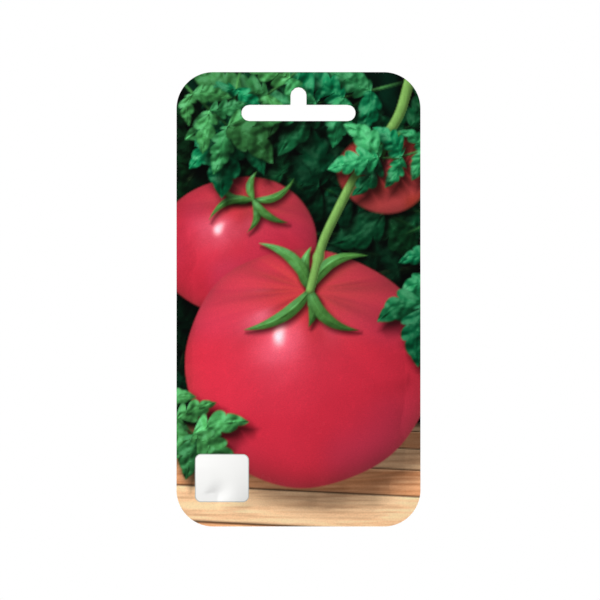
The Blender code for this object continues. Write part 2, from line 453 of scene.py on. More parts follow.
@dataclass(frozen=True)
class Fruit:
    """A ripe round tomato, ribbed a little towards its stalk.

    Args:
        middle: Its middle.
        radius: Half its width, in mm.
        tone: Its red in full light.
        flat: Its height over its width.
        lobes: How many ribs it has.
        lobe: How far its outline is from a round one, as a share of the radius.
        stalk: Where its stalk stands, in radii from the middle.
        soft: Half the width of its blurred rim, in mm.
        light: How brightly it is lit.
        seed: Which mottle it has, and how its ribs are turned.
    """

    middle: Place
    radius: float
    tone: Array
    flat: float = 0.88
    lobes: int = 5
    lobe: float = 0.02
    stalk: Place = (0.0, 0.66)
    soft: float = 0.25
    light: float = 1.0
    seed: int = 3

    STALK_SLANT = 0.55
    SLOPE_STEP = 0.012

    @property
    def stalk_place(self) -> Place:
        """The stalk's foot on the print."""
        return (
            self.middle[0] + self.stalk[0] * self.radius,
            self.middle[1] + self.stalk[1] * self.radius * self.flat,
        )

    def reach(self, x: Array, y: Array) -> Array:
        """How far out places are, with the outline at 1: the radius swells by three cosines of the angle."""
        angle = np.arctan2(y, x)
        swell = np.cos(2 * angle + self.seed) + 0.8 * np.cos(3 * angle + 2 * self.seed)
        return np.hypot(x, y) / (1 + self.lobe * (swell + 0.3 * np.cos(self.lobes * angle + 0.5)))

    def from_stalk(self, x: Array, y: Array) -> tuple[Array, Array]:
        """Distances and angles from the stalk, over the skin, which slants away from the eye there."""
        right = x - self.stalk[0]
        above = (y - self.stalk[1]) / self.STALK_SLANT
        return np.hypot(right, above), np.arctan2(above, right)

    def height(self, x: Array, y: Array, relief: float) -> Array:
        """How far the skin stands towards the eye, in radii.

        A ball, sqrt(1 - r^2), with a bell-shaped dimple at the stalk and grooves that
        run out from it, each the square of a raised cosine across.

        Args:
            x: Places across, in radii.
            y: Places up, in half heights.
            relief: How much of the dimple and the grooves there is.

        Returns:
            The height at each place.
        """
        ball = np.sqrt(np.clip(1 - self.reach(x, y) ** 2, 0, None) + 1e-4)
        away, spoke = self.from_stalk(x, y)
        return ball - relief * (0.14 * bell(away, 0.38) + 0.085 * self.grooves(away, spoke))

    def grooves(self, away: Array, spoke: Array) -> Array:
        """How deep in a groove between two ribs places are, from 0 to 1: the square of a raised cosine."""
        groove = (0.5 + 0.5 * np.cos(self.lobes * spoke + self.seed * 1.7)) ** 2
        return groove * bell(away, 1.25) * smooth(0.0, 0.40, away)

    def normals(self, x: Array, y: Array, relief: float = 1.0) -> Array:
        """Unit vectors out of the skin, from the height's slope either side of each place."""
        step = self.SLOPE_STEP
        slope_x = (self.height(x + step, y, relief) - self.height(x - step, y, relief)) / (2 * step)
        slope_y = (self.height(x, y + step, relief) - self.height(x, y - step, relief)) / (2 * step)
        normal = np.stack([-slope_x, -slope_y / self.flat, np.ones_like(x)], axis=1)
        return normal / np.linalg.norm(normal, axis=1, keepdims=True)

    def paint(self, canvas: Canvas) -> None:
        """Paints the fruit's soft shadow on what is behind it, then the fruit."""
        where = canvas.near(self.middle, self.radius * 1.3)
        x = (canvas.across[where] - self.middle[0]) / self.radius
        y = (canvas.up[where] - self.middle[1]) / (self.radius * self.flat)
        fall = np.hypot((x - 0.10) / 1.12, (y + 0.14) / 1.10)
        canvas.darken(where, 0.68 * (1 - smooth(0.86, 1.12, fall)), ink(52, 36, 40))
        far = self.reach(x, y)
        cover = np.clip(0.5 + (1 - far) * self.radius * 0.94 / (2 * self.soft), 0, 1)
        on = cover > 0
        inward = np.minimum(0.985 / np.maximum(far[on], 1e-6), 1.0)
        canvas.lay(where[on], self.skin(x[on] * inward, y[on] * inward) * self.light, cover[on])

    def skin(self, x: Array, y: Array) -> Array:
        """The skin's colour: red in wrapped light, streaked from the stalk, with soft reflections.

        Args:
            x: Places across, in radii.
            y: Places up, in half heights.

        Returns:
            One colour for each place.
        """
        normal = self.normals(x, y)
        lit = normal @ PICTURE_LIGHT
        facing = normal[:, 2]
        wrap = np.clip(lit * 0.55 + 0.45, 0, 1)
        away, spoke = self.from_stalk(x, y)
        patch = cloud(x * 2.2 + 7, y * 2.2 + 9, self.seed) - 0.5
        streaks = cloud(spoke * 9 + 50, away * 1.3, self.seed + 3, 3) - 0.5
        flecks = smooth(0.78, 0.95, speckle(x * self.radius * 1.3, y * self.radius * 1.2, self.seed + 9))
        mottle = 1 + 0.22 * patch + 0.16 * streaks + 0.07 * flecks - 0.22 * self.grooves(away, spoke)
        colour = self.tone * ((0.51 + 0.39 * wrap) * mottle)[:, None]
        cooler = smooth(0.35, 0.7, cloud(x * 1.3 + 70, y * 1.3 + 70, self.seed, 2))[:, None]
        colour = colour * (1 - 0.10 * cooler) + ink(84, 44, 70) * (0.34 * cooler)
        shoulder = (bell(away, 0.62) * (0.7 + 0.9 * streaks))[:, None]
        colour = colour * (1 - 0.34 * shoulder) + ink(172, 92, 44) * (0.26 * shoulder)
        uneven = 0.55 + 0.9 * cloud(x * 6 + 30, y * 6 + 30, self.seed + 40, 4)
        mirror = self.mirrored(self.normals(x, y, relief=0.30))
        gleam = self.gleam(mirror, (0.42, 0.50), 0.9) * uneven
        spark = self.gleam(self.mirrored(self.normals(x, y, relief=0.08)), (0.11, 0.20), 1.3) * uneven
        open_sky = smooth(0.25, 0.7, away)
        colour += ink(240, 156, 184) * (0.27 * gleam * open_sky)[:, None]
        colour += ink(255, 240, 240) * (0.62 * spark)[:, None]
        graze = ((1 - facing) ** 3.0)[:, None]
        around = np.where(mirror[:, 1:2] > 0, ink(70, 90, 70), ink(170, 110, 90))
        colour = colour * (1 - 0.35 * graze) + around * (0.12 * graze)
        return colour * (1 - 0.30 * smooth(0.75, 1.0, self.reach(x, y)) * (1 - wrap))[:, None]

    @staticmethod
    def mirrored(normal: Array) -> Array:
        """Where the eye sees to in the skin, as in a mirror: twice the normal's own share of the eye's line, less it."""
        return 2 * normal[:, 2:] * normal - np.array([0.0, 0.0, 1.0])

    @staticmethod
    def gleam(mirror: Array, size: Place, power: float) -> Array:
        """How much of a soft lamp the skin mirrors: exp(-(q^power)), q the squared distance in lamp sizes."""
        across = np.cross((0.0, 1.0, 0.0), PICTURE_LIGHT)
        across /= np.linalg.norm(across)
        off = (mirror @ across / size[0]) ** 2 + (mirror @ np.cross(PICTURE_LIGHT, across) / size[1]) ** 2
        return np.exp(-(off**power)) * smooth(0.0, 0.3, mirror @ PICTURE_LIGHT)


@dataclass(frozen=True)
class Planks:
    """Plain wooden boards that lie across the picture's foot, lower in the picture the further off they are.

    Args:
        top: How high they reach, in mm.
        board: The nearest board's height, in mm.
        slope: How far the gaps fall to the right.
        pale: The palest board in full light.
        warm: The darkest board in full light.
    """

    top: float
    board: float
    slope: float
    pale: Array
    warm: Array

    FAR_OFF = 34.0
    BRIGHTEST = 0.82

    def paint(self, canvas: Canvas) -> None:
        """Paints boards whose grain is noise drawn out along them, with dark gaps and a lit upper rim."""
        where = np.flatnonzero(canvas.up < self.top + 5)
        x = canvas.across[where]
        y = canvas.up[where]
        rank = self.FAR_OFF / self.board * np.expm1((y + self.slope * x) / self.FAR_OFF)
        row = np.floor(rank)
        inside = rank - row
        grain = cloud(x / 16 + row * 13.7, y * 1.3 + row * 5, 21, 5)
        rings = 0.5 + 0.5 * np.sin(38 * cloud(x / 60 + row * 3.1, y / 6 + row * 7, 5, 2))
        warmth = np.clip(0.62 * (row % 2) + 0.25 * speckle(row, row * 0, 3) + 0.7 * (0.6 - grain), 0, 1)[:, None]
        streak = 0.52 + 0.60 * grain + 0.16 * rings
        colour = (self.pale * (1 - warmth) + self.warm * warmth) * streak[:, None]
        colour /= np.maximum(colour.max(axis=1, keepdims=True) / self.BRIGHTEST, 1)
        colour *= (1 - 0.45 * smooth(0.45 * self.top, self.top, y))[:, None]
        gap = bell(np.minimum(inside, 1 - inside), 0.035)[:, None]
        colour = colour * (1 - 0.92 * gap) + ink(240, 205, 160) * (0.2 * bell(inside - 0.94, 0.03))[:, None]
        canvas.lay(where, colour, 1 - smooth(-1.5, 1.5, y - self.top))


@dataclass(frozen=True)
class Depth:
    """How leaves look at one distance from the eye.

    Args:
        cool: Their bluest green in full light.
        warm: Their yellowest green in full light.
        light: The least and most light on a leaf.
        soft: Half the width of their blurred rims, in mm.
        gloss: How strongly they shine.
        quilt: How deep their veins are sunk.
        shadow: How dark a shadow they cast.
        drop: How far below them it falls, in mm.
    """

    cool: Array
    warm: Array
    light: Place
    soft: float
    gloss: float
    quilt: float
    shadow: float
    drop: float


FAR = Depth(ink(0, 84, 50), ink(26, 92, 46), (0.03, 0.26), 1.0, 0.05, 0.4, 0.7, 1.2)
MIDDLE = Depth(ink(0, 118, 72), ink(30, 130, 66), (0.22, 0.84), 0.42, 0.18, 0.6, 0.9, 1.8)
NEAR = Depth(ink(0, 130, 80), ink(72, 154, 80), (0.64, 0.98), 0.26, 0.28, 0.7, 0.92, 2.6)


@dataclass
class Picture:
    """A generic picture of round tomatoes on their vine over plain boards.

    Args:
        width: The print's width in mm.
        height: Its height in mm.
        seed: Starts the draws that scatter the leaves.
    """

    width: float
    height: float
    seed: int = 7
    draw: random.Random = field(init=False)

    SPRAYS_FAR = 20
    SPRAYS_MIDDLE = 15
    GAIN = 1.38

    def __post_init__(self) -> None:
        """Starts the draws."""
        self.draw = random.Random(self.seed)

    def spray(self, canvas: Canvas, depth: Depth, start: Place, heading: float, size: float) -> None:
        """Paints a compound leaf: pairs of leaflets along a bent stalk, and a larger one at its end.

        Args:
            canvas: What it is painted on.
            depth: How leaves look at its distance.
            start: Where its stalk starts.
            heading: Where the stalk points, in radians from the right.
            size: Its length in mm.
        """
        draw = self.draw
        light = draw.uniform(*depth.light)
        warmth = draw.uniform(0.0, 1.0) ** 3
        bend = draw.uniform(-0.25, 0.25)
        x, y = start
        stalk = [start]
        blades = []
        for pair in range(2 if size < 26 else 3):
            stride = size * (0.30 if pair == 0 else 0.22)
            heading += bend
            x += stride * math.cos(heading)
            y += stride * math.sin(heading)
            stalk.append((x, y))
            for side in (-1, 1):
                length = size * draw.uniform(0.34, 0.48) * (0.85 + 0.15 * pair)
                turn = heading + side * draw.uniform(0.7, 1.15)
                blades.append(((x, y), turn, length, length * draw.uniform(0.48, 0.62), side * draw.uniform(-0.04, 0.16)))
        length = size * draw.uniform(0.50, 0.62)
        turn = heading + draw.uniform(-0.15, 0.15)
        blades.append(((x, y), turn, length, length * draw.uniform(0.52, 0.66), draw.uniform(-0.12, 0.12)))
        rib = (depth.warm * 1.15 + ink(40, 50, 20)) * light
        Stem(tuple(stalk), size * 0.016 + 0.5, 0.4, rib, depth.soft, 0.4, veiled=0.45).paint(canvas)
        for root, turn, length, width, bow in blades:
            share = np.clip(warmth + draw.uniform(-0.3, 0.3), 0, 1)
            Leaflet(
                root, turn, length, width, depth.cool * (1 - share) + depth.warm * share, bow,
                teeth=draw.randint(3, 4),
                tooth=draw.uniform(0.34, 0.58),
                soft=depth.soft,
                light=light * draw.uniform(0.6, 1.3),
                quilt=depth.quilt,
                gloss=depth.gloss,
                shadow=depth.shadow,
                drop=depth.drop,
                seed=draw.randint(1, 9999),
            ).paint(canvas)

    def scatter(self, canvas: Canvas, depth: Depth, count: int, lowest: float, sizes: Place) -> None:
        """Paints compound leaves at random places above lowest, turned at random."""
        draw = self.draw
        side = self.width / 2 + 6
        for _ in range(count):
            start = (draw.uniform(-side, side), draw.uniform(lowest, self.height + 3))
            self.spray(canvas, depth, start, draw.uniform(0, 2 * math.pi), draw.uniform(*sizes))

    def star(self, canvas: Canvas, middle: Place, size: float, sepals: int = 6) -> None:
        """Paints the green star at a stalk's foot: narrow sepals, shorter where they point to or from the eye."""
        for i in range(sepals):
            turn = 2 * math.pi * (i + self.draw.uniform(-0.15, 0.15)) / sepals + 0.4
            length = size * self.draw.uniform(0.8, 1.2) * (0.55 + 0.45 * abs(math.cos(turn)))
            bow = self.draw.choice((-1, 1)) * self.draw.uniform(0.08, 0.24)
            Leaflet(
                middle, turn, length, size * 0.17, ink(84, 146, 64), bow,
                teeth=3,
                tooth=0.05,
                light=self.draw.uniform(0.75, 1.25),
                quilt=0.12,
                gloss=0.25,
                shadow=0.85,
                drop=1.1,
                crumple=0.5,
                seed=i + 5,
            ).paint(canvas)

    def paint(self, canvas: Canvas) -> Array:
        """Paints the whole picture from the back to the front.

        Args:
            canvas: The places to paint.

        Returns:
            The ink at each place.
        """
        haze = cloud(canvas.across / 14 + 3, canvas.up / 14 + 5, 1)
        canvas.colour = ink(0, 2, 1) + (ink(2, 42, 26) - ink(0, 2, 1)) * smooth(0.4, 0.85, haze)[:, None]
        self.scatter(canvas, FAR, self.SPRAYS_FAR, 30, (24, 38))
        Planks(33.0, 14.0, 0.05, ink(242, 203, 159), ink(216, 146, 98)).paint(canvas)
        self.scatter(canvas, MIDDLE, self.SPRAYS_MIDDLE, 82, (34, 54))
        rose = ink(203, 42, 63)
        fruits = (
            Fruit((28, 116), 15, ink(204, 70, 58), lobes=4, stalk=(0.1, 0.7), soft=0.5, light=0.8, seed=8),
            Fruit((-20, 92), 26, rose, stalk=(0.20, 0.66), soft=0.3, light=0.85, seed=5),
            Fruit((3, 52), 41.5, rose, flat=0.92, lobes=8, lobe=0.021, stalk=(0.02, 0.67)),
        )
        for fruit in fruits[:-1]:
            fruit.paint(canvas)
            self.star(canvas, fruit.stalk_place, 5 + fruit.radius * 0.4)
        hero = fruits[-1]
        hero.paint(canvas)
        foot = hero.stalk_place
        self.star(canvas, foot, 24)
        vine = ((38.0, 152.0), (33.0, 134.0), (18.0, 114.0), (8.0, 94.0), foot)
        Stem(vine, 3.3, 2.6, ink(112, 158, 78), knuckle=0.84).paint(canvas)
        near_sprays = (
            ((36, 146), 3.4, 42), ((6, 156), 4.1, 42), ((-18, 154), 4.4, 36), ((50, 128), 3.8, 34),
            ((-42, 150), 5.4, 36), ((52, 98), 4.1, 36), ((-54, 46), 5.7, 34),
        )
        for start, heading, size in near_sprays:
            self.spray(canvas, NEAR, start, heading, size)
        return np.clip(canvas.colour * self.GAIN, 0, 1)


# The packet's shape


@dataclass(frozen=True)
class PacketShape:
    """The packet's outline, hook slot and pocket, in metres in the frame.

    Args:
        left: The least X.
        right: The greatest X.
        foot: The least Z.
        top: The greatest Z.
    """

    left: float
    right: float
    foot: float
    top: float

    CORNER = 12.0 * MM
    SLOT_HALF_STRAIGHT = 16.05 * MM
    SLOT_RADIUS = 2.65 * MM
    SLOT_DEPTH = 13.4 * MM
    NOTCH_RADIUS = 2.6 * MM
    NOTCH_DEPTH = 5.0 * MM
    SIDE_SEAL = 5.0 * MM
    FOOT_SEAL = 6.0 * MM
    HEAD_SEAL = 20.0 * MM
    BELLY = 1.7 * MM
    BELLY_SHARE = 0.35
    FOOT_FULLNESS = 5.0
    HEAD_FULLNESS = 2.0

    @property
    def slot_height(self) -> float:
        """The Z of the long slot's middle."""
        return self.top - self.SLOT_DEPTH

    @property
    def notch_height(self) -> float:
        """The Z of the notch's round top's centre."""
        return self.top - self.NOTCH_DEPTH - self.NOTCH_RADIUS

    @property
    def pocket(self) -> tuple[float, float, float]:
        """The pocket's half width, and the Z of its foot and head."""
        return self.right - self.SIDE_SEAL, self.foot + self.FOOT_SEAL, self.top - self.HEAD_SEAL

    def columns(self) -> tuple[float, ...]:
        """The X of every straight edge and crease."""
        half = (self.NOTCH_RADIUS, self.SLOT_HALF_STRAIGHT, self.pocket[0], self.right)
        return tuple(-x for x in reversed(half)) + half

    def rows(self) -> tuple[float, ...]:
        """The Z of every straight edge and crease."""
        _, pocket_foot, pocket_head = self.pocket
        slot = (self.slot_height - self.SLOT_RADIUS, self.slot_height + self.SLOT_RADIUS)
        notch = (self.notch_height, self.notch_height + self.NOTCH_RADIUS)
        return (self.foot, pocket_foot, pocket_head, *slot, *notch, self.top)

    def from_outline(self, x: Array, z: Array) -> Array:
        """How far inside the outline places are: the distance to a rectangle with round corners."""
        over_x = np.abs(x) - (self.right - self.CORNER)
        over_z = np.abs(z - (self.top + self.foot) / 2) - ((self.top - self.foot) / 2 - self.CORNER)
        beyond = np.hypot(np.maximum(over_x, 0), np.maximum(over_z, 0))
        return self.CORNER - beyond - np.minimum(np.maximum(over_x, over_z), 0)

    def from_slot(self, x: Array, z: Array) -> Array:
        """How far outside the hook slot places are: the nearer of a lying and a standing rod with round ends."""
        lying = np.hypot(np.maximum(np.abs(x) - self.SLOT_HALF_STRAIGHT, 0), z - self.slot_height)
        middle = (self.notch_height + self.slot_height) / 2
        half = (self.notch_height - self.slot_height) / 2
        standing = np.hypot(x, np.maximum(np.abs(z - middle) - half, 0))
        return np.minimum(lying - self.SLOT_RADIUS, standing - self.NOTCH_RADIUS)

    def from_cut(self, x: Array, z: Array) -> Array:
        """How far from the nearest cut edge places are, below 0 where there is no paper."""
        return np.minimum(self.from_outline(x, z), self.from_slot(x, z))

    def bulge(self, x: Array, z: Array) -> Array:
        """How far a sheet stands off the seal's plane: a parabola across, and a power from the belly to each end."""
        half, pocket_foot, pocket_head = self.pocket
        belly = pocket_foot + self.BELLY_SHARE * (pocket_head - pocket_foot)
        across = 1 - np.clip(np.abs(x) / half, 0, 1) ** 2
        below = 1 - np.clip((belly - z) / (belly - pocket_foot), 0, 1) ** self.FOOT_FULLNESS
        above = 1 - np.clip((z - belly) / (pocket_head - belly), 0, 1) ** self.HEAD_FULLNESS
        return self.BELLY * across * np.where(z < belly, below, above)


def ruled(keys: tuple[float, ...], spacing: float) -> Array:
    """Lines from the first key to the last, evenly spaced between keys, with one on every key.

    Args:
        keys: Places that need a line, in order.
        spacing: The widest space between two lines.

    Returns:
        The lines' places, in order.
    """
    stretches = [
        np.linspace(low, high, max(1, math.ceil((high - low) / spacing - 1e-6)), endpoint=False)
        for low, high in zip(keys, keys[1:])
    ]
    return np.concatenate([*stretches, keys[-1:]])


@dataclass(frozen=True)
class Patch:
    """A flat net of paper, trimmed to the outline and the slot.

    Args:
        x: Each vertex's X.
        z: Each vertex's Z.
        quads: Faces of four vertices, anticlockwise seen from the front.
        triangles: Faces of three vertices along round edges.
    """

    x: Array
    z: Array
    quads: Array
    triangles: Array

    @classmethod
    def cut(cls, shape: PacketShape, spacing: float) -> "Patch":
        """Cuts a net of ruled lines to the packet's shape.

        Vertices within half a space of a cut are moved onto it, down the slope of the
        distance to it. A line of the net can then cross a cut only at a vertex, so each
        cell is wholly paper, wholly waste, or loses one corner.

        Args:
            shape: The packet's shape.
            spacing: The widest space between two lines.

        Returns:
            The net.
        """
        x, z = np.meshgrid(ruled(shape.columns(), spacing), ruled(shape.rows(), spacing))
        count = x.shape
        x = x.ravel()
        z = z.ravel()
        on_cut = np.abs(shape.from_cut(x, z)) < spacing * 0.501
        x[on_cut], z[on_cut] = cls.slide(shape, x[on_cut], z[on_cut])
        state = np.where(on_cut, 0, np.sign(shape.from_cut(x, z))).astype(int)
        number = np.arange(x.size).reshape(count)
        cells = np.stack(
            [number[:-1, :-1], number[:-1, 1:], number[1:, 1:], number[1:, :-1]], axis=-1
        ).reshape(-1, 4)
        corners = state[cells]
        whole = (corners >= 0).all(axis=1) & (corners > 0).any(axis=1)
        triangles = []
        for lost in range(4):
            kept = [(lost + i) % 4 for i in (1, 2, 3)]
            clipped = (corners[:, lost] < 0) & (corners[:, kept[1]] > 0)
            triangles.append(cells[clipped][:, kept])
        quads = cells[whole]
        triangles = np.concatenate(triangles)
        used = np.unique(np.concatenate([quads.ravel(), triangles.ravel()]))
        place = np.zeros(x.size, int)
        place[used] = np.arange(used.size)
        return cls(x[used], z[used], place[quads], place[triangles])

    @staticmethod
    def slide(shape: PacketShape, x: Array, z: Array) -> tuple[Array, Array]:
        """Moves places onto the nearest cut, by Newton's steps along the distance's slope."""
        step = 0.01 * MM
        for _ in range(4):
            value = shape.from_cut(x, z)
            slope_x = (shape.from_cut(x + step, z) - shape.from_cut(x - step, z)) / (2 * step)
            slope_z = (shape.from_cut(x, z + step) - shape.from_cut(x, z - step)) / (2 * step)
            steep = np.maximum(slope_x**2 + slope_z**2, 0.25)
            x = x - value * slope_x / steep
            z = z - value * slope_z / steep
        return x, z

    def rims(self, shape: PacketShape) -> dict[str, tuple[Array, Array]]:
        """The net's two edges, each sorted by angle round its own middle.

        Args:
            shape: The packet's shape.

        Returns:
            For "outline" and "slot", the vertices' numbers and their angles.
        """
        ends = np.concatenate(
            [faces[:, [i, (i + 1) % faces.shape[1]]] for faces in (self.quads, self.triangles) for i in range(faces.shape[1])]
        )
        size = len(self.x)
        forward = ends[:, 0] * size + ends[:, 1]
        backward = ends[:, 1] * size + ends[:, 0]
        edge = np.unique(ends[~np.isin(forward, backward)])
        at_slot = shape.from_slot(self.x[edge], self.z[edge]) < shape.from_outline(self.x[edge], self.z[edge])
        rims = {}
        for name, vertices, middle in (
            ("outline", edge[~at_slot], (shape.top + shape.foot) / 2),
            ("slot", edge[at_slot], shape.slot_height),
        ):
            angle = np.arctan2(self.z[vertices] - middle, self.x[vertices])
            order = np.argsort(angle)
            rims[name] = (vertices[order], angle[order])
        return rims


def zip_rims(first: tuple[Array, Array], second: tuple[Array, Array]) -> Array:
    """Triangles that join two closed rims, whatever their counts of vertices.

    Going round by angle, each edge of one rim is joined to the vertex last passed on the other.

    Args:
        first: One rim's vertices in order, and their angles.
        second: The other rim's.

    Returns:
        The triangles, each with the first rim's edges running backwards.
    """
    a, angle_a = first
    b, angle_b = second
    next_a = np.roll(a, -1)
    next_b = np.roll(b, -1)
    turned_a = np.roll(angle_a, -1)
    turned_b = np.roll(angle_b, -1)
    last_b = (np.searchsorted(angle_b, turned_a, side="left") - 1) % len(b)
    last_a = (np.searchsorted(angle_a, turned_b, side="right") - 1) % len(a)
    return np.concatenate([np.stack([next_a, a, b[last_b]], 1), np.stack([b, next_b, a[last_a]], 1)])


class Facing(Enum):
    """Which way a sheet's outer face looks along Y."""

    FRONT = -1
    BACK = 1


@dataclass(frozen=True)
class PaperRelief:
    """How the paper departs from its plain bulge.

    Args:
        warp: How far the whole packet waves, in metres.
        pucker: How deep the folds are where the pocket's swell meets its seal, in metres.
        dent: How deep the dent is that runs in from each corner of the pocket, in metres.
        seed: Which pattern.
    """

    warp: float = 0.22 * MM
    pucker: float = 0.26 * MM
    dent: float = 0.30 * MM
    seed: int = 4

    def waves(self, x: Array, z: Array) -> Array:
        """The wave that both sheets share: broad noise."""
        broad = cloud(x / (34 * MM) + 5, z / (40 * MM) + 9, self.seed, 2) - 0.5
        return -2 * self.warp * broad

    def puckers(self, shape: PacketShape, x: Array, z: Array, side: int) -> Array:
        """Small folds that fade inwards from the seal, and outwards over it.

        Args:
            shape: The packet's shape.
            x: Places across.
            z: Places up.
            side: Which sheet, so that the two differ.

        Returns:
            How far each place stands off, in metres.
        """
        half, pocket_foot, pocket_head = shape.pocket
        from_side = half - np.abs(x)
        from_end = np.minimum(z - pocket_foot, pocket_head - z)
        fade_side = np.where(from_side > 0, bell(from_side, 8.0 * MM), bell(from_side, 1.2 * MM))
        fade_end = np.where(from_end > 0, bell(from_end, 9.0 * MM), bell(from_end, 1.2 * MM))
        within_x = smooth(-1.5 * MM, 1.5 * MM, from_side)
        within_z = smooth(-1.5 * MM, 1.5 * MM, from_end)
        seed = self.seed + 20 * side
        along_sides = cloud(x / (26 * MM) + 3, z / (8 * MM), seed, 2) - 0.5
        along_ends = cloud(x / (7 * MM), z / (26 * MM) + 3, seed + 7, 2) - 0.5
        folds = 2 * self.pucker * (along_sides * fade_side * within_z + along_ends * fade_end * within_x)
        angle = np.arctan2(from_end, from_side) - 0.8 + 0.3 * np.sign(x) * side
        out = np.hypot(from_side, from_end)
        dents = self.dent * bell(angle, 0.26) * bell(out - 8 * MM, 6 * MM)
        return folds - dents * (from_side > 0) * (from_end > 0)


@dataclass(frozen=True)
class Sheet:
    """One sheet of the packet.

    Args:
        name: The piece's name.
        node: The CAD node that it stands for.
        facing: Which way its outer face looks.
        shape: The packet's shape.
        relief: How the paper departs from its plain bulge.
        spacing: The widest space between vertices on the outer face.
    """

    name: str
    node: str
    facing: Facing
    shape: PacketShape
    relief: PaperRelief
    spacing: float

    THICKNESS = 0.14 * MM
    GLUE = 0.02 * MM
    INNER_SPACING = 1.3 * MM
    PRINT_SHARE = 0.93
    RIM_STRIP = 0.95
    INNER_STRIP = 0.975
    STRIP_WIDTH = 0.015
    SHARPEST_SMOOTH = math.radians(40)

    def depth(self, x: Array, z: Array) -> Array:
        """The inner face's Y: the bulge and its puckers from the seal, and the wave of the whole packet."""
        side = self.facing.value
        off = self.GLUE / 2 + self.shape.bulge(x, z) + self.relief.puckers(self.shape, x, z, side) * 1.0
        return side * np.maximum(off, self.GLUE / 2) + self.relief.waves(x, z)

    def build(self) -> bpy.types.Object:
        """Makes the sheet: a fine outer face, a coarser inner face, and the cut edge between them.

        Returns:
            The sheet's object, with one material index for the outer face and one for the rest.
        """
        outer = Patch.cut(self.shape, self.spacing)
        inner = Patch.cut(self.shape, self.INNER_SPACING)
        side = self.facing.value
        outer_y = self.depth(outer.x, outer.z) + side * self.THICKNESS
        points = np.concatenate(
            [
                np.stack([outer.x, outer_y, outer.z], 1),
                np.stack([inner.x, self.depth(inner.x, inner.z), inner.z], 1),
            ]
        )
        offset = len(outer.x)
        rim = self.rim(outer, inner, offset)
        groups = [
            (outer.quads, 0),
            (outer.triangles, 0),
            (inner.quads[:, ::-1] + offset, 2),
            (inner.triangles[:, ::-1] + offset, 2),
            (rim, 1),
        ]
        if self.facing is Facing.BACK:
            groups = [(faces[:, ::-1], kind) for faces, kind in groups]
        obj = mesh_object(self.name, points, [faces for faces, _ in groups])
        kinds = np.concatenate([np.full(len(faces), kind) for faces, kind in groups])
        obj.data.polygons.foreach_set("material_index", np.minimum(kinds, 1).astype(np.int32))
        self.lay_out(obj, points, kinds)
        obj.data.shade_smooth()
        obj.data.set_sharp_from_angle(angle=self.SHARPEST_SMOOTH)
        return obj

    def rim(self, outer: Patch, inner: Patch, offset: int) -> Array:
        """The cut edge's triangles, round the outline and round the slot.

        Args:
            outer: The outer face's net.
            inner: The inner face's net.
            offset: The number of the inner net's first vertex in the mesh.

        Returns:
            Triangles that face out of the paper.
        """
        outer_rims = outer.rims(self.shape)
        inner_rims = inner.rims(self.shape)
        walls = []
        for name, turn in (("outline", 1), ("slot", -1)):
            vertices, angles = inner_rims[name]
            walls.append(zip_rims(outer_rims[name], (vertices + offset, angles))[:, ::turn])
        return np.concatenate(walls)

    def lay_out(self, obj: bpy.types.Object, points: Array, kinds: Array) -> None:
        """Gives the sheet its bake map: the outer face fills all but a strip, which the rest shares.

        Args:
            obj: The sheet.
            points: The mesh's points.
            kinds: 0, 1 or 2 for each face on the outer face, the rim and the inner face.
        """
        mesh = obj.data
        corner = np.empty(len(mesh.loops), np.int32)
        mesh.loops.foreach_get("vertex_index", corner)
        sides = np.empty(len(mesh.polygons), np.int32)
        mesh.polygons.foreach_get("loop_total", sides)
        kind = np.repeat(kinds, sides)
        box = self.shape
        across = (points[corner, 0] - box.left) / (box.right - box.left)
        up = (points[corner, 2] - box.foot) / (box.top - box.foot)
        start = np.array([0.0, self.RIM_STRIP, self.INNER_STRIP])[kind]
        width = np.array([self.PRINT_SHARE, self.STRIP_WIDTH, self.STRIP_WIDTH])[kind]
        places = np.stack([start + width * across, up], axis=1)
        layer = mesh.uv_layers.new(name=BAKE_MAP)
        layer.data.foreach_set("uv", places.astype(np.float32).ravel())


def mesh_object(name: str, points: Array, faces: list[Array]) -> bpy.types.Object:
    """A mesh from whole arrays.

    Args:
        name: The object's name.
        points: The vertices, n by 3, in metres in the frame.
        faces: Groups of faces, each group with one count of corners.

    Returns:
        The object, linked to the scene.
    """
    mesh = bpy.data.meshes.new(name)
    mesh.vertices.add(len(points))
    mesh.vertices.foreach_set("co", points.astype(np.float32).ravel())
    loops = np.concatenate([group.ravel() for group in faces]).astype(np.int32)
    totals = np.concatenate([np.full(len(group), group.shape[1]) for group in faces]).astype(np.int32)
    starts = np.concatenate([[0], np.cumsum(totals)[:-1]]).astype(np.int32)
    mesh.loops.add(len(loops))
    mesh.loops.foreach_set("vertex_index", loops)
    mesh.polygons.add(len(totals))
    mesh.polygons.foreach_set("loop_start", starts)
    mesh.polygons.foreach_set("loop_total", totals)
    mesh.update(calc_edges=True)
    mesh.validate()
    obj = bpy.data.objects.new(name, mesh)
    bpy.context.collection.objects.link(obj)
    return obj


# Materials


